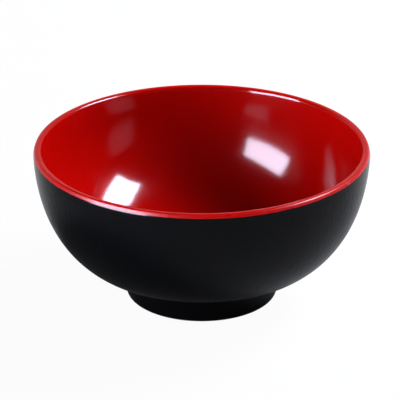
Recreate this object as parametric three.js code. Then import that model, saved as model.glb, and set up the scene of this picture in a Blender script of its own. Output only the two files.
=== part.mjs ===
import * as THREE from 'three';

// A two-tone rice bowl pressed from melamine in two shots: a black outer shell with its foot ring,
// and a red liner that is fused into it and wraps over its top edge as the rim.
// Millimetres, +Z up. The origin is on the bowl's axis, on the surface that the foot stands on.

// Overall form
const rimDiameter = 115;
const bowlHeight = 54.6;

// Walls, measured square to the surface. The two layers are fused along a bond line.
const shellWall = 1.1;
const linerWall = 1.1;
const bondGap = 0.3;

// How far the liner's lip runs down outside, below the rim's rounding
const lipDrop = 0.25;

// Foot ring: the flat that it stands on, its taper, and the height where the body's underside meets it
const footDiameter = 50.8;
const footRingWidth = 3;
const footTaper = 0.8;
const footHeight = 9.75;
const footEdgeRadius = 0.7;
const creaseFillet = 0.8;

// Recess under the base, inside the foot ring
const baseThickness = 1.55;
const recessDraft = 0.6;

// Sweep of the wall's curve: its direction at the rim and at the foot, and how far it follows each
const rimDraftAngle = THREE.MathUtils.degToRad(1.75);
const undersideAngle = THREE.MathUtils.degToRad(4.9);
const rimPullShare = 0.59;
const undersidePullShare = 0.564;
const floorPullShare = 0.5;

// Smoothness
const turns = 72;
const wallSteps = 13;
const floorSteps = 4;
const rimSteps = 6;
const edgeSteps = 3;

const rimRadius = rimDiameter / 2;
const footRadius = footDiameter / 2;
const wholeWall = shellWall + bondGap + linerWall;
const rimRounding = wholeWall / 2;
const lipHeight = bowlHeight - rimRounding - lipDrop;
const widest = new THREE.Vector2(rimRadius, bowlHeight - rimRounding);
const crease = new THREE.Vector2(footRadius + footTaper, footHeight);

// The outer face of the wall, from the rim's widest place down to the crease above the foot
function wallCurve() {
  const rimPull = rimPullShare * (widest.y - crease.y);
  const undersidePull = undersidePullShare * (widest.x - crease.x);
  const underRim = new THREE.Vector2(-Math.sin(rimDraftAngle), -Math.cos(rimDraftAngle))
    .multiplyScalar(rimPull).add(widest);
  const besideCrease = new THREE.Vector2(Math.cos(undersideAngle), Math.sin(undersideAngle))
    .multiplyScalar(undersidePull).add(crease);
  return new THREE.CubicBezierCurve(widest, underRim, besideCrease, crease);
}

// The same skin carried on across the foot to the axis, where it lies level
function floorCurve() {
  const pull = floorPullShare * crease.x;
  const middle = new THREE.Vector2(crease.x - pull, crease.y - pull * Math.tan(undersideAngle));
  return new THREE.QuadraticBezierCurve(crease, middle, new THREE.Vector2(0, middle.y));
}

// Points at a depth inside the skin, from the rim down to the axis
function skinPoints(depth) {
  const points = [];
  const walk = (curve, steps) => {
    for (let i = 0; i < steps; i += 1) {
      const tangent = curve.getTangent(i / steps);
      const inward = new THREE.Vector2(tangent.y, -tangent.x);
      points.push(curve.getPoint(i / steps).addScaledVector(inward, depth));
    }
  };
  walk(wallCurve(), wallSteps);
  walk(floorCurve(), floorSteps);
  points.push(new THREE.Vector2(0, floorCurve().v2.y + depth));
  return points;
}

// The skin's points under a height, starting with the place where it passes that height
function skinBelow(depth, height) {
  const points = skinPoints(depth);
  const first = points.findIndex((point) => point.y < height);
  const above = points[first - 1];
  const below = points[first];
  const share = (height - below.y) / (above.y - below.y);
  return [below.clone().lerp(above, share), ...points.slice(first)];
}

// Points of a round corner, from one angle to another about its centre
function arc(centre, radius, fromAngle, toAngle, steps) {
  const points = [];
  for (let i = 0; i <= steps; i += 1) {
    const angle = fromAngle + (toAngle - fromAngle) * i / steps;
    const spoke = new THREE.Vector2(Math.cos(angle), Math.sin(angle));
    points.push(spoke.multiplyScalar(radius).add(centre));
  }
  return points;
}

// Turns a closed outline of radius and height about the bowl's axis
function turnedMesh(name, outline, material) {
  const geometry = new THREE.LatheGeometry(outline, turns);
  geometry.rotateX(Math.PI / 2);
  const mesh = new THREE.Mesh(geometry, material);
  mesh.name = name;
  return mesh;
}

// The foot's outline: out across the recess, down and under the ring, up its outer side to the crease
function footOutline() {
  const right = 0;
  const up = Math.PI / 2;
  const left = Math.PI;
  const innerRadius = footRadius - footRingWidth;
  const recessHeight = floorCurve().v2.y + shellWall - baseThickness;
  const recessCorner = new THREE.Vector2(
    innerRadius - recessDraft - footEdgeRadius,
    recessHeight - footEdgeRadius,
  );
  const innerEdge = new THREE.Vector2(innerRadius + footEdgeRadius, footEdgeRadius);
  const outerEdge = new THREE.Vector2(footRadius - footEdgeRadius, footEdgeRadius);
  const creaseCorner = new THREE.Vector2(crease.x + creaseFillet, crease.y - creaseFillet);
  return [
    new THREE.Vector2(0, recessHeight),
    ...arc(recessCorner, footEdgeRadius, up, right, edgeSteps),
    ...arc(innerEdge, footEdgeRadius, -left, -up, edgeSteps),
    ...arc(outerEdge, footEdgeRadius, -up, right, edgeSteps),
    ...arc(creaseCorner, creaseFillet, left, up + undersideAngle, edgeSteps),
  ];
}

// Black shell: the foot, the outer wall, the top edge under the rim's lip, and back down its inner face
function outerShell() {
  const topHeight = lipHeight - bondGap;
  const outside = skinBelow(0, topHeight).filter((point) => point.x > crease.x + creaseFillet);
  const inside = skinBelow(shellWall, topHeight);
  const black = new THREE.MeshStandardMaterial({ color: 0x131418, roughness: 0.5, metalness: 0 });
  return turnedMesh('outer_shell', [...footOutline(), ...outside.reverse(), ...inside], black);
}

// Red liner: its underside, the lip over the shell's edge, the rounded rim and the eating surface
function innerLiner() {
  const underside = skinBelow(shellWall + bondGap, lipHeight).reverse();
  const lipEdge = skinBelow(0, lipHeight)[0];
  const rimCentre = new THREE.Vector2(rimRadius - rimRounding, widest.y);
  const rim = arc(rimCentre, rimRounding, 0, Math.PI, rimSteps);
  const inside = skinPoints(wholeWall).slice(1);
  const red = new THREE.MeshStandardMaterial({ color: 0xb00804, roughness: 0.12, metalness: 0 });
  return turnedMesh('inner_liner', [...underside, lipEdge, ...rim, ...inside], red);
}

const group = new THREE.Group();
group.name = 'rice_bowl';
group.add(outerShell(), innerLiner());

export default group;
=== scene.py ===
# %% [markdown]
# # A two-tone rice bowl
# The bowl is pressed from melamine powder in a heated mould, in two shots. A black shell with the foot
# ring comes first. A red liner is pressed into it, and it wraps over the shell's top edge as the rim.
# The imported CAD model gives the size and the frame. This notebook makes the two pieces again with
# finer curves and real finishes, and puts each one exactly where its CAD node is.

# %% Load the frame
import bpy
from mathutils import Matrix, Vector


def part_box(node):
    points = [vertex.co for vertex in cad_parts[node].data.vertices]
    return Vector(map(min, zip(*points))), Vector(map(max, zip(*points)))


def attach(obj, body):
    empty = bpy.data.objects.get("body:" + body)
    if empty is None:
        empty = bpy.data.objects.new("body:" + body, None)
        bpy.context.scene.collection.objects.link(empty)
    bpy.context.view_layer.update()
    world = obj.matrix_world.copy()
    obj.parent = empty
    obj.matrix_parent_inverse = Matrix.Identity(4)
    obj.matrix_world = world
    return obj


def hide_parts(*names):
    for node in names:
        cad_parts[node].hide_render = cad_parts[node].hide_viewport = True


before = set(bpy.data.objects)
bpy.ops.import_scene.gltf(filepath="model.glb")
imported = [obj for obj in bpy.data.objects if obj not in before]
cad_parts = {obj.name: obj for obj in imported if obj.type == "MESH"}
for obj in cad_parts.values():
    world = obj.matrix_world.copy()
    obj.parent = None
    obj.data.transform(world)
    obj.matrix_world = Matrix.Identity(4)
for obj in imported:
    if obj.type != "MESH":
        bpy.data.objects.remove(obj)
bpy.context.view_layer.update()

liner_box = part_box("inner_liner")

# %% Tools and units
import math

import bmesh
import bpy
from mathutils import Matrix, Vector

MM = 0.001  # the pieces' sizes are in millimetres, as in the CAD source, and the scene is in metres

# %% [markdown]
# ## The skin: one curve that both pieces share
# The real mould halves are turned, so everything follows from a half section. The outer face of the
# wall is one cubic curve from the rim's widest place to the crease above the foot. A second curve
# carries it on to the axis, under the eating surface. The other faces lie at a fixed depth inside it,
# because a pressed wall is evenly thick. Points picked by eye could give the same outline, but only
# a curve stays smooth enough for a glossy surface, which shows every dent.

# %% Overall sizes
rim_radius = liner_box[1][0] / MM
bowl_height = liner_box[1][2] / MM
rim_rounding = 1.25
widest = Vector((rim_radius, bowl_height - rim_rounding))
crease = Vector((26.2, 9.75))
shell_wall = 1.1
whole_wall = 3.18  # down to the eating surface, at the depth that the photographed reflections ask for
print(f"rim {2 * rim_radius:.1f} mm across, {bowl_height:.1f} mm tall")

# %% The outer face as a curve
rim_draft = math.radians(1.75)
underside_angle = math.radians(4.9)
rim_pull_share = 0.59
underside_pull_share = 0.564
rim_pull = rim_pull_share * (widest.y - crease.y)
underside_pull = underside_pull_share * (widest.x - crease.x)
floor_level = crease.y - crease.x / 2 * math.tan(underside_angle)

wall_handles = [
    widest,
    widest - rim_pull * Vector((math.sin(rim_draft), math.cos(rim_draft))),
    crease + underside_pull * Vector((math.cos(underside_angle), math.sin(underside_angle))),
    crease,
]
floor_handles = [crease, Vector((crease.x / 2, floor_level)), Vector((0, floor_level))]


def blend_handles(handles, t):
    """A Bezier curve's point, by halving its handles' polygon step by step."""
    points = list(handles)
    while len(points) > 1:
        points = [a.lerp(b, t) for a, b in zip(points, points[1:])]
    return points[0]


def heading(handles, t):
    """The curve's unit direction: the same halving on the differences of the handles."""
    return blend_handles([b - a for a, b in zip(handles, handles[1:])], t).normalized()


def skin(depth, wall_steps=72, floor_steps=24):
    """Points at a depth inside the outer face, from the rim down to the axis."""
    points = []
    for handles, steps in ((wall_handles, wall_steps), (floor_handles, floor_steps)):
        for i in range(steps):
            along = heading(handles, i / steps)
            points.append(blend_handles(handles, i / steps) + depth * Vector((along.y, -along.x)))
    points.append(Vector((0, floor_level + depth)))
    return points


def below(points, height):
    """The part of a skin under a height, starting exactly on it."""
    first = next(i for i, p in enumerate(points) if p.y < height)
    upper, lower = points[first - 1], points[first]
    share = (height - lower.y) / (upper.y - lower.y)
    return [lower.lerp(upper, share)] + points[first:]


def corner(centre, radius_x, radius_y, start, end, steps):
    """Points of a round or oval corner, from one angle in degrees to another about its centre."""
    points = []
    for i in range(steps + 1):
        angle = math.radians(start + (end - start) * i / steps)
        points.append(centre + Vector((radius_x * math.cos(angle), radius_y * math.sin(angle))))
    return points


print(f"eating surface lowest at z = {floor_level + whole_wall:.2f} mm")

# %% [markdown]
# ## Turning a half section into a piece
# The Spin tool or a Screw modifier could do this. Here a Geometry Nodes tree does it, because the rule
# is then in plain sight: every column of a grid is a copy of the half section, turned a little further
# about Z. The tree also carries three values from the section to the finished surface. `along` is the
# distance along the section, which gives the hatching its direction. `grain` says where the shell's
# mould is hatched. `band` says where an edge has a finish of its own.

# %% Small helpers for node trees
def link(tree, source, target):
    tree.links.new(source, target)


def arithmetic(tree, operation, *values):
    """One Math node. Each value is a socket to link or a plain number."""
    node = tree.nodes.new("ShaderNodeMath")
    node.operation = operation
    for socket, value in zip(node.inputs, values):
        if isinstance(value, (int, float)):
            socket.default_value = value
        else:
            link(tree, value, socket)
    return node.outputs[0]


def remap(tree, value, low, high, from_low=0.3, from_high=0.7):
    """Maps a range onto another. Most of a noise lies between 0.3 and 0.7."""
    node = tree.nodes.new("ShaderNodeMapRange")
    node.inputs["From Min"].default_value = from_low
    node.inputs["From Max"].default_value = from_high
    node.inputs["To Min"].default_value = low
    if isinstance(high, (int, float)):
        node.inputs["To Max"].default_value = high
    else:
        link(tree, high, node.inputs["To Max"])
    link(tree, value, node.inputs["Value"])
    return node.outputs["Result"]


# %% The turning tree
def make_turning_tree():
    """A tree that turns a half section about Z. Returns it and the identifiers of its inputs."""
    tree = bpy.data.node_groups.new("turn_half_section", "GeometryNodeTree")
    new_socket = tree.interface.new_socket
    new_socket("Half Section", in_out="INPUT", socket_type="NodeSocketGeometry")
    steps = new_socket("Steps Around", in_out="INPUT", socket_type="NodeSocketInt")
    weld = new_socket("Weld Distance", in_out="INPUT", socket_type="NodeSocketFloat")
    finish = new_socket("Finish", in_out="INPUT", socket_type="NodeSocketMaterial")
    new_socket("Piece", in_out="OUTPUT", socket_type="NodeSocketGeometry")
    add = tree.nodes.new
    given = add("NodeGroupInput")
    result = add("NodeGroupOutput")

    count = add("GeometryNodeAttributeDomainSize")
    link(tree, given.outputs["Half Section"], count.inputs[0])
    grid = add("GeometryNodeMeshGrid")
    grid.inputs["Size X"].default_value = 1
    grid.inputs["Size Y"].default_value = 1
    link(tree, arithmetic(tree, "ADD", given.outputs["Steps Around"], 1), grid.inputs["Vertices X"])
    link(tree, count.outputs["Point Count"], grid.inputs["Vertices Y"])

    place = add("GeometryNodeInputPosition")
    split = add("ShaderNodeSeparateXYZ")
    link(tree, place.outputs[0], split.inputs[0])
    turn = remap(tree, split.outputs["X"], 0, 2 * math.pi, -0.5, 0.5)
    last_point = arithmetic(tree, "SUBTRACT", count.outputs["Point Count"], 1)
    row = arithmetic(tree, "ROUND", remap(tree, split.outputs["Y"], 0, last_point, -0.5, 0.5))

    def from_section(value_type, source):
        """A value of the section's point that belongs to this row of the grid."""
        sample = add("GeometryNodeSampleIndex")
        sample.data_type = value_type
        sample.domain = "POINT"
        link(tree, given.outputs["Half Section"], sample.inputs["Geometry"])
        link(tree, source, sample.inputs["Value"])
        link(tree, row, sample.inputs["Index"])
        return sample.outputs["Value"]

    section_place = add("GeometryNodeInputPosition")
    radius_height = add("ShaderNodeSeparateXYZ")
    link(tree, from_section("FLOAT_VECTOR", section_place.outputs[0]), radius_height.inputs[0])
    turned = add("ShaderNodeCombineXYZ")
    for operation, axis in (("COSINE", "X"), ("SINE", "Y")):
        wave = arithmetic(tree, operation, turn)
        link(tree, arithmetic(tree, "MULTIPLY", wave, radius_height.outputs["X"]), turned.inputs[axis])
    link(tree, radius_height.outputs["Z"], turned.inputs["Z"])

    flow = grid.outputs["Mesh"]
    for name in ("along", "grain", "band"):
        read = add("GeometryNodeInputNamedAttribute")
        read.data_type = "FLOAT"
        read.inputs["Name"].default_value = name
        store = add("GeometryNodeStoreNamedAttribute")
        store.data_type = "FLOAT"
        store.domain = "POINT"
        store.inputs["Name"].default_value = name
        link(tree, flow, store.inputs["Geometry"])
        link(tree, from_section("FLOAT", read.outputs["Attribute"]), store.inputs["Value"])
        flow = store.outputs["Geometry"]

    shaped = add("GeometryNodeSetPosition")
    link(tree, flow, shaped.inputs["Geometry"])
    link(tree, turned.outputs[0], shaped.inputs["Position"])
    closed = add("GeometryNodeMergeByDistance")
    link(tree, shaped.outputs[0], closed.inputs["Geometry"])
    link(tree, given.outputs["Weld Distance"], closed.inputs["Distance"])
    smooth = add("GeometryNodeSetShadeSmooth")
    link(tree, closed.outputs[0], smooth.inputs[0])
    real = add("GeometryNodeRealizeInstances")
    link(tree, smooth.outputs[0], real.inputs[0])
    coloured = add("GeometryNodeSetMaterial")
    link(tree, real.outputs[0], coloured.inputs["Geometry"])
    link(tree, given.outputs["Finish"], coloured.inputs["Material"])
    link(tree, coloured.outputs[0], result.inputs[0])
    return tree, {"steps": steps.identifier, "weld": weld.identifier, "finish": finish.identifier}


turning_tree, turning_inputs = make_turning_tree()
print("the turning tree has", len(turning_tree.nodes), "nodes")

# %% From a half section to a plain mesh
steps_around = 240
weld_distance = 0.001  # closes the seam, and the poles on the axis


def turn_piece(name, section, finish, grain=None, band=None):
    """Turns a closed half section, in millimetres, into a welded mesh with its faces outward."""
    wire = bpy.data.meshes.new(name + "_section")
    spots = [(p.x * MM, 0, p.y * MM) for p in section]
    wire.from_pydata(spots, [(i, i + 1) for i in range(len(spots) - 1)], [])
    travelled = [0.0]
    for a, b in zip(section, section[1:]):
        travelled.append(travelled[-1] + (b - a).length * MM)
    nowhere = [0.0] * len(section)
    for kind, values in (("along", travelled), ("grain", grain or nowhere), ("band", band or nowhere)):
        wire.attributes.new(kind, "FLOAT", "POINT").data.foreach_set("value", values)

    template = bpy.data.objects.new(name + "_section", wire)
    bpy.context.collection.objects.link(template)
    lathe = template.modifiers.new("turning", "NODES")
    lathe.node_group = turning_tree
    lathe[turning_inputs["steps"]] = steps_around
    lathe[turning_inputs["weld"]] = weld_distance * MM
    lathe[turning_inputs["finish"]] = finish

    view = bpy.context.evaluated_depsgraph_get()
    mesh = bpy.data.meshes.new_from_object(template.evaluated_get(view))
    bpy.data.objects.remove(template)
    mesh.name = name

    solid = bmesh.new()
    solid.from_mesh(mesh)
    bmesh.ops.recalc_face_normals(solid, faces=solid.faces)
    if solid.calc_volume(signed=True) < 0:
        bmesh.ops.reverse_faces(solid, faces=solid.faces)
    open_edges = sum(not edge.is_manifold for edge in solid.edges)
    volume = solid.calc_volume() / MM**3 / 1000
    solid.to_mesh(mesh)
    solid.free()
    piece = bpy.data.objects.new(name, mesh)
    bpy.context.collection.objects.link(piece)
    print(f"{name}: {len(mesh.polygons)} faces, {volume:.1f} ml, {open_edges} open edges")
    return piece


# %% [markdown]
# ## Finishes
# Melamine is opaque and evenly coloured right through. The liner comes off a chromed mould face, so it
# is glossy, with only a trace of waviness, but the outer side of its lip is satin. The shell's mould
# face has a fine hatching that runs down the wall, so the black looks matt beside the red. A narrow
# band under the rim and the foot are left smooth. Painted images could show all this, but noise needs
# no unwrapping and has no seams, and the values that the section carries say where a finish ends.

# %% Helpers for a finish
def new_finish(name):
    """A material, its tree, its Principled shader and the Object coordinates."""
    finish = bpy.data.materials.new(name)
    finish.use_nodes = True
    tree = finish.node_tree
    place = tree.nodes.new("ShaderNodeTexCoord")
    return finish, tree, tree.nodes["Principled BSDF"], place.outputs["Object"]


def noise(tree, vector, size, detail=2.0):
    """Noise whose features are about this many millimetres apart."""
    node = tree.nodes.new("ShaderNodeTexNoise")
    node.inputs["Scale"].default_value = 1 / (size * MM)
    node.inputs["Detail"].default_value = detail
    link(tree, vector, node.inputs["Vector"])
    return node.outputs["Fac"]


def carried(tree, name):
    """A value that the half section carried to the surface."""
    node = tree.nodes.new("ShaderNodeAttribute")
    node.attribute_name = name
    return node.outputs["Fac"]


def two_colours(tree, share, first, second):
    """A mix of two colours. Each is a socket to link, or red, green and blue."""
    node = tree.nodes.new("ShaderNodeMix")
    node.data_type = "RGBA"
    for name, colour in (("A", first), ("B", second)):
        if isinstance(colour, tuple):
            node.inputs[name].default_value = (*colour, 1)
        else:
            link(tree, colour, node.inputs[name])
    link(tree, share, node.inputs["Factor"])
    return node.outputs["Result"]


def bump(tree, height, depth):
    """A bump of so many millimetres."""
    node = tree.nodes.new("ShaderNodeBump")
    node.inputs["Strength"].default_value = 1.0
    node.inputs["Distance"].default_value = depth * MM
    link(tree, height, node.inputs["Height"])
    return node.outputs["Normal"]


# %% Glossy red for the liner
deep_red = (0.315, 0.0008, 0.0003)
light_red = (0.345, 0.0011, 0.0005)
gloss_roughness = 0.115
satin_roughness = 0.27
roughness_play = 0.015  # how far handling and the mould let the roughness wander
cloud_size = 18
wear_size = 9
wave_size = 5
wave_depth = 0.004

liner_finish, tree, shader, place = new_finish("melamine_red_gloss")
red = two_colours(tree, noise(tree, place, cloud_size), deep_red, light_red)
link(tree, red, shader.inputs["Base Color"])
zones = remap(tree, carried(tree, "band"), gloss_roughness, satin_roughness, 0, 1)
wander = remap(tree, noise(tree, place, wear_size), -roughness_play, roughness_play)
link(tree, arithmetic(tree, "ADD", wander, zones), shader.inputs["Roughness"])
link(tree, bump(tree, noise(tree, place, wave_size), wave_depth), shader.inputs["Normal"])
shader.inputs["IOR"].default_value = 1.56
shader.inputs["Specular IOR Level"].default_value = 0.2
print("made", liner_finish.name)

# %% Satin black for the shell
hatch_size = 0.7
hatch_depth = 0.13
hatch_stretch = 0.22  # a stroke is about four and a half times as long down the wall as it is wide
typical_radius = 45
hatch_black = (0.0010, 0.0011, 0.0014)
hatch_grey = (0.0022, 0.0023, 0.0029)
smooth_black = (0.0010, 0.0010, 0.0013)
smooth_grey = (0.0015, 0.0015, 0.0019)
smooth_roughness = 0.12
hatched_roughness = 0.18
touch_size = 6
polish_coat = 0.1

shell_finish, tree, shader, place = new_finish("melamine_black_matt")
split = tree.nodes.new("ShaderNodeSeparateXYZ")
link(tree, place, split.inputs[0])
flat = tree.nodes.new("ShaderNodeCombineXYZ")
link(tree, split.outputs["X"], flat.inputs["X"])
link(tree, split.outputs["Y"], flat.inputs["Y"])
spoke = tree.nodes.new("ShaderNodeVectorMath")
spoke.operation = "NORMALIZE"
link(tree, flat.outputs[0], spoke.inputs[0])
round_about = tree.nodes.new("ShaderNodeVectorMath")
round_about.operation = "SCALE"
round_about.inputs["Scale"].default_value = typical_radius * MM
link(tree, spoke.outputs[0], round_about.inputs[0])
lift = tree.nodes.new("ShaderNodeCombineXYZ")
link(tree, arithmetic(tree, "MULTIPLY", carried(tree, "along"), hatch_stretch), lift.inputs["Z"])
hatch_place = tree.nodes.new("ShaderNodeVectorMath")
hatch_place.operation = "ADD"
link(tree, round_about.outputs[0], hatch_place.inputs[0])
link(tree, lift.outputs[0], hatch_place.inputs[1])

grain = carried(tree, "grain")
hatch = noise(tree, hatch_place.outputs[0], hatch_size, 1.0)
touched = noise(tree, place, touch_size)
hatched = two_colours(tree, hatch, hatch_black, hatch_grey)
smooth = two_colours(tree, touched, smooth_black, smooth_grey)
link(tree, two_colours(tree, grain, smooth, hatched), shader.inputs["Base Color"])
link(tree, bump(tree, arithmetic(tree, "MULTIPLY", hatch, grain), hatch_depth), shader.inputs["Normal"])
zones = remap(tree, grain, smooth_roughness, hatched_roughness, 0, 1)
wander = remap(tree, touched, -roughness_play, roughness_play)
link(tree, arithmetic(tree, "ADD", zones, wander), shader.inputs["Roughness"])
shader.inputs["Specular IOR Level"].default_value = 0.18
shader.inputs["Coat Roughness"].default_value = 0.18
shader.inputs["Coat IOR"].default_value = 1.5
link(tree, arithmetic(tree, "MULTIPLY", carried(tree, "band"), polish_coat), shader.inputs["Coat Weight"])
print("made", shell_finish.name)

# %% [markdown]
# ## The shell
# On the real bowl this is the first shot: foot ring and outer wall in one. The section runs from the
# recess under the base, round the foot ring, up the outside to the top edge under the rim, and back
# down its inner face, which the liner covers. The visible faces alone would do for a picture, but
# a section that starts and ends on the axis turns into a closed solid, as the real shell is.

# %% Foot ring and recess
foot_radius = 26.1
foot_corner = (1.8, 1.6)
foot_top = 26.6
foot_inner = 22.4
recess_draft = 0.6
recess_edge = 0.7
base_thickness = 1.55
crease_fillet = 0.4
crease_rise = 0.07  # the underside has climbed so far from the crease to the fillet's end

recess_height = floor_level + shell_wall - base_thickness
recess_corner = Vector((foot_inner - recess_draft - recess_edge, recess_height - recess_edge))
inner_corner = Vector((foot_inner + recess_edge, recess_edge))
outer_corner = Vector((foot_radius - foot_corner[0], foot_corner[1]))
fillet = Vector((foot_top + crease_fillet, crease.y + crease_rise - crease_fillet))

section = [Vector((0, recess_height))]
section += corner(recess_corner, recess_edge, recess_edge, 90, 0, 8)
section += corner(inner_corner, recess_edge, recess_edge, -180, -90, 8)
section += corner(outer_corner, *foot_corner, -90, 0, 12)
section += corner(fillet, crease_fillet, crease_fillet, 180, 90 + math.degrees(underside_angle), 10)
print(f"foot {2 * foot_radius:.1f} mm across, recess {recess_height:.2f} mm deep")

# %% Outer wall, shoulder and top edge
lip_drop = 1.5
lip_line = 0.04  # the fine dark line between the two colours
lip_height = bowl_height - lip_drop
shell_top = lip_height - lip_line
lip_facing = 15  # the wall has turned this far inward where the lip meets it, in degrees
shoulder_radius = 3.4
top_edge = 0.12
top_edge_drop = 0.02

shoulder_height = shoulder_radius * (math.sin(math.radians(lip_facing)) + math.sin(rim_draft))
outside = [p for p in below(skin(0), shell_top - shoulder_height) if p.x > fillet.x]
inside = below(skin(shell_wall), shell_top - top_edge)
shoulder_from = len(section) + len(outside)
section += outside[::-1]
shoulder_centre = outside[0] - shoulder_radius * Vector((math.cos(rim_draft), -math.sin(rim_draft)))
draft_degrees = math.degrees(rim_draft)
section += corner(shoulder_centre, shoulder_radius, shoulder_radius, -draft_degrees, lip_facing, 8)[1:]
lip_corner = section[-1] + Vector((0, lip_height - shell_top))
upper_edge = section[-1] + Vector((-top_edge, -top_edge_drop))
section += corner(upper_edge, top_edge, top_edge, 30, 90, 4)
section += inside

# %% Where the shell is hatched and where it is polished
band_width = 1.6
fade = 0.25
foot_height = 8
band_radius = 50  # the band's points lie outside this radius
band_height = lip_height - band_width


def shell_grain(index, point):
    """1 where the mould face is hatched: the outer wall from the crease up to the polished band."""
    if index >= shoulder_from or point.x < fillet.x or point.y < foot_height:
        return 0.0
    return min(1.0, max(0.0, (band_height - point.y) / fade))


shell_grains = [shell_grain(i, p) for i, p in enumerate(section)]
in_band = [float(p.x > band_radius and p.y > band_height - fade) for p in section]
shell_band = [inside_band * (1 - g) for inside_band, g in zip(in_band, shell_grains)]
shell = turn_piece("black_shell", section, shell_finish, shell_grains, shell_band)

# %% [markdown]
# ## The liner
# The second shot. Its section starts under the bowl's floor, runs up the bond to the shell, out over
# the shell's top edge, round the rim and down the eating surface. The CAD's rim is a half round. The
# highlights in the photograph show a flatter top with a soft shoulder on each side, so here the rim is
# a chain of arcs that run on from each other, and the last one, nearly straight, joins the wall.

# %% The rim
rim_arcs = [  # how far the surface has turned, in degrees from facing outward, and with what radius
    (30, 4.0), (50, 0.2), (66, 1.8), (88, 0.3), (114, 2.7), (130, 0.35), (150, 0.9), (162, 1.3), (171, 4.5),
    (173.5, 153.0),
]


def arc_chain(start, facing, arcs, steps=8):
    """Arcs that run on from each other: each turns the surface to a new facing with a radius."""
    points = [start]
    for target, radius in arcs:
        turned = math.radians(facing)
        centre = points[-1] - radius * Vector((math.cos(turned), math.sin(turned)))
        points += corner(centre, radius, radius, facing, target, steps)[1:]
        facing = target
    return points


rim = arc_chain(lip_corner, lip_facing, rim_arcs)
print(f"the rim's top is {max(p.y for p in rim):.2f} mm high, and its arcs end {rim[-1].y:.2f} mm high")

# %% The eating surface and the bond
bond_gap = 0.05
settle_height = 31.0  # from here up the wall is led over to where the rim's arcs end

wall_inside = below(skin(whole_wall), rim[-1].y)
inner_shift = rim[-1].x - wall_inside[0].x
print(f"the wall is led over by {-inner_shift:.2f} mm where it meets the rim's arcs")

eating = []
for p in wall_inside[1:]:
    share = min(1.0, max(0.0, (p.y - settle_height) / (rim[-1].y - settle_height)))
    eating.append(p + Vector((inner_shift * share * share, 0)))

bond = below(skin(shell_wall + bond_gap), lip_height)
lip_underside = rim[0] + Vector((-top_edge, -top_edge_drop))
section = bond[::-1] + [lip_underside] + rim + eating

# %% Where the lip is satin
satin_width = 0.9
satin_fade = 0.3
lip_slack = 0.03


def lip_satin(point):
    """1 on the outer side of the lip, fading out as the surface turns over to the top."""
    reach = point.x - (rim_radius - satin_width)
    if reach < 0 or point.y < lip_height - lip_slack:
        return 0.0
    return min(1.0, reach / satin_fade)


liner = turn_piece("red_liner", section, liner_finish, band=[lip_satin(p) for p in section])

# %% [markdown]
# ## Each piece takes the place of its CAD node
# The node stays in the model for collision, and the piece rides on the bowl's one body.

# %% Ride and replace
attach(shell, "root")
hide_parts("outer_shell")
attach(liner, "root")
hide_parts("inner_liner")

# %% [markdown]
# ## Floor and backdrop
# A product table: a pale floor and a pale wall all round it, far away and higher behind the bowl. A
# very bright lamp would turn them white too, but it would also bleach the bowl. So they are white to
# the camera by their material. A mirrored ray sees some of that white, more of it behind the bowl
# than in front, and otherwise plain paper. The darker table in front of the bowl, as the bowl mirrors
# it, is painted shade. Light that bounces off them meets white paper.

# %% A pale surface that shows white
white_glow = 1.09
bounce_shade = 0.8
# painted shade: mirrored rays see the front share of white up to here along Y, and the behind share from
# there on
mirror_shade_ramp = (20 * MM, 120 * MM)  # from in front of here to behind there, along Y


def grey(shade):
    return (shade, shade, shade)


def pale_finish(name, paper_shade, camera_paper, shaded_mirror_front, mirror_behind):
    """Paper and white glow, with a share of each for every kind of ray. Mirrored rays see less glow in
    front of the bowl than behind it: painted shade.
    """
    finish = bpy.data.materials.new(name)
    finish.use_nodes = True
    tree = finish.node_tree
    tree.nodes.remove(tree.nodes["Principled BSDF"])
    rays = tree.nodes.new("ShaderNodeLightPath").outputs
    paper = tree.nodes.new("ShaderNodeBsdfDiffuse")
    colour = two_colours(tree, rays["Is Diffuse Ray"], grey(paper_shade), grey(bounce_shade))
    link(tree, colour, paper.inputs["Color"])
    white = tree.nodes.new("ShaderNodeEmission")
    white.inputs["Strength"].default_value = white_glow

    place = tree.nodes.new("ShaderNodeTexCoord")
    split = tree.nodes.new("ShaderNodeSeparateXYZ")
    link(tree, place.outputs["Object"], split.inputs[0])
    mirrored = arithmetic(tree, "MAXIMUM", rays["Is Glossy Ray"], rays["Is Transmission Ray"])
    # painted shade: mirrored rays see less white glow in front of the bowl than behind it
    shaded_mirror_share = remap(tree, split.outputs["Y"], shaded_mirror_front, mirror_behind, *mirror_shade_ramp)
    mirrored_white = arithmetic(tree, "MULTIPLY", mirrored, shaded_mirror_share)
    glow = arithmetic(tree, "MULTIPLY_ADD", rays["Is Camera Ray"], 1 - camera_paper, mirrored_white)
    mix = tree.nodes.new("ShaderNodeMixShader")
    link(tree, glow, mix.inputs["Fac"])
    link(tree, paper.outputs[0], mix.inputs[1])
    link(tree, white.outputs[0], mix.inputs[2])
    link(tree, mix.outputs[0], tree.nodes["Material Output"].inputs["Surface"])
    return finish


# %% Floor and backdrop, in metres
floor_size = 2.6
wall_inset = 0.05
wall_height = 0.25
sweep_height = 2.6
stage_sides = 96

floor_mesh = bpy.data.meshes.new("floor")
ground = bmesh.new()
bmesh.ops.create_circle(ground, cap_ends=True, radius=floor_size, segments=stage_sides)
ground.to_mesh(floor_mesh)
ground.free()
# painted shade: the mirrored table shows only 0.03 of the white in front of the bowl and 0.5 behind it
floor_mesh.materials.append(pale_finish("pale_floor", 0.215, 0.12, 0.03, 0.5))
floor = bpy.data.objects.new("floor", floor_mesh)
bpy.context.collection.objects.link(floor)

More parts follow.
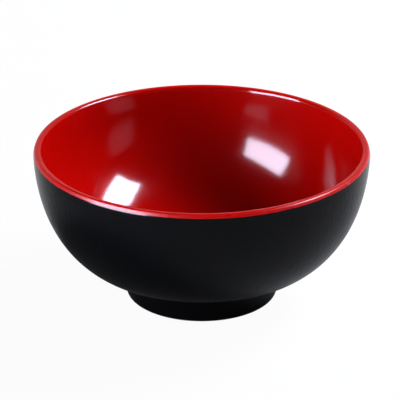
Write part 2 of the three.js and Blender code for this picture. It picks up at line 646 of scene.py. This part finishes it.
wall_mesh = bpy.data.meshes.new("backdrop")
ring = bmesh.new()
bmesh.ops.create_circle(ring, radius=floor_size - wall_inset, segments=stage_sides)
risen = bmesh.ops.extrude_edge_only(ring, edges=ring.edges[:])["geom"]
for vertex in risen:
    if isinstance(vertex, bmesh.types.BMVert):
        behind = max(0.0, vertex.co.y / floor_size)
        vertex.co.z = wall_height + sweep_height * behind**1.5
ring.to_mesh(wall_mesh)
ring.free()
wall_mesh.materials.append(pale_finish("pale_backdrop", 0.3, 0, 0.35, 0.35))
backdrop = bpy.data.objects.new("backdrop", wall_mesh)
bpy.context.collection.objects.link(backdrop)
print(f"floor {2 * floor_size:.1f} m across, backdrop {wall_height:.2f} m high in front")

# %% [markdown]
# ## Light
# The photographed bowl has sharp panes of light in its gloss and a soft, slow change of red between
# them. Lamps placed for the panes alone leave the red dark in the wrong places. So two cards are seen
# only in the gloss: they make the panes and the highlights on the rim. Two keys in other places light
# the colour, and a low strip in front lifts the side of the rim that is turned to the camera.

# %% Lamps
card_colour = (0.91, 0.97, 1.22)  # a trace of blue, as in the highlights
key_colour = (0.92, 0.945, 1.03)


def compass(azimuth, elevation):
    """Unit vector: azimuth in degrees from +Y towards +X, elevation above the floor."""
    a, e = math.radians(azimuth), math.radians(elevation)
    return Vector((math.sin(a) * math.cos(e), math.cos(a) * math.cos(e), math.sin(e)))


def softbox(name, centre, facing, width, height, radiance, colour, roll=0.0):
    """A rectangular lamp of a given brightness per area, which looks along `facing`. In metres."""
    lamp = bpy.data.lights.new(name, "AREA")
    lamp.shape = "RECTANGLE"
    lamp.size, lamp.size_y = width, height
    lamp.energy = radiance * math.pi * width * height
    lamp.color = colour
    box = bpy.data.objects.new(name, lamp)
    side = facing.cross(Vector((0, 0, 1))).normalized()
    up = side.cross(facing)
    turn = Matrix((side, up, -facing)).transposed().to_4x4()
    box.matrix_world = Matrix.Translation(centre) @ turn @ Matrix.Rotation(math.radians(roll), 4, "Z")
    box.visible_camera = False
    bpy.context.collection.objects.link(box)
    return box


# %% Cards for the gloss
right_card = softbox(
    "right_card", centre=compass(88.5, 40.3) + Vector((0, 0, 0.04)), facing=-compass(83.4, 39.7),
    width=0.50, height=0.385, radiance=68.0, colour=card_colour, roll=7.5,
)
left_card = softbox(
    "left_card", centre=0.909 * compass(-127.0, 0) + Vector((0, 0, 0.28)), facing=-compass(-106.2, 0),
    width=0.68, height=0.53, radiance=41.0, colour=card_colour,
)
for card in (right_card, left_card):
    card.visible_diffuse = False

# %% Keys for the colour
bowl_middle = Vector((0, 0, 0.04))
right_side = compass(66, 45)
left_side = compass(-114, 14)
right_key = softbox(
    "right_key", centre=bowl_middle + right_side, facing=-right_side,
    width=0.60, height=0.35, radiance=34.5, colour=key_colour,
)
left_key = softbox(
    "left_key", centre=bowl_middle + left_side, facing=-left_side,
    width=0.84, height=0.48, radiance=12.8, colour=key_colour,
)
front_strip = softbox(
    "front_strip", centre=Vector((0, -1.0, 0.022)), facing=Vector((0, 1, 0)),
    width=1.2, height=0.04, radiance=38.0, colour=key_colour,
)
for key in (right_key, left_key, front_strip):
    key.visible_glossy = False

# %% The left key doesn't light the table
# In a studio, a card under the lamp does this. The black wall then mirrors a darker table on that side.
left_key_reach = bpy.data.collections.new("left_key_reach")
left_key_reach.objects.link(floor)
left_key_reach.collection_objects[0].light_linking.link_state = "EXCLUDE"
left_key.light_linking.receiver_collection = left_key_reach

# %% A trace of light from the room
room_light = 0.012
world = bpy.data.worlds.new("studio_air")
world.use_nodes = True
world.node_tree.nodes["Background"].inputs["Color"].default_value = (1, 1, 1, 1)
world.node_tree.nodes["Background"].inputs["Strength"].default_value = room_light
bpy.context.scene.world = world
print("lamps:", ", ".join(sorted(lamp.name for lamp in bpy.data.lights)))

# %% [markdown]
# ## Camera
# A long lens a metre away, a little above the rim, square on to the bowl.

# %% Place the camera
view_height = 24.053  # degrees above the table
aim = Vector((-0.583, 0, 34.237)) * MM
pixels_per_mm = 2.907  # at the aim, in an image 400 pixels wide
image_width = 400
camera_distance = 1000

lens = bpy.data.cameras.new("camera")
lens.sensor_width = 36
lens.lens = pixels_per_mm * camera_distance * lens.sensor_width / image_width
lens.clip_end = 20
camera = bpy.data.objects.new("camera", lens)
camera.location = aim + camera_distance * MM * compass(180, view_height)
camera.rotation_euler = (math.radians(90 - view_height), 0, 0)
bpy.context.collection.objects.link(camera)
bpy.context.scene.camera = camera
bpy.context.scene.view_settings.view_transform = "Standard"
print(f"lens {lens.lens:.1f} mm")
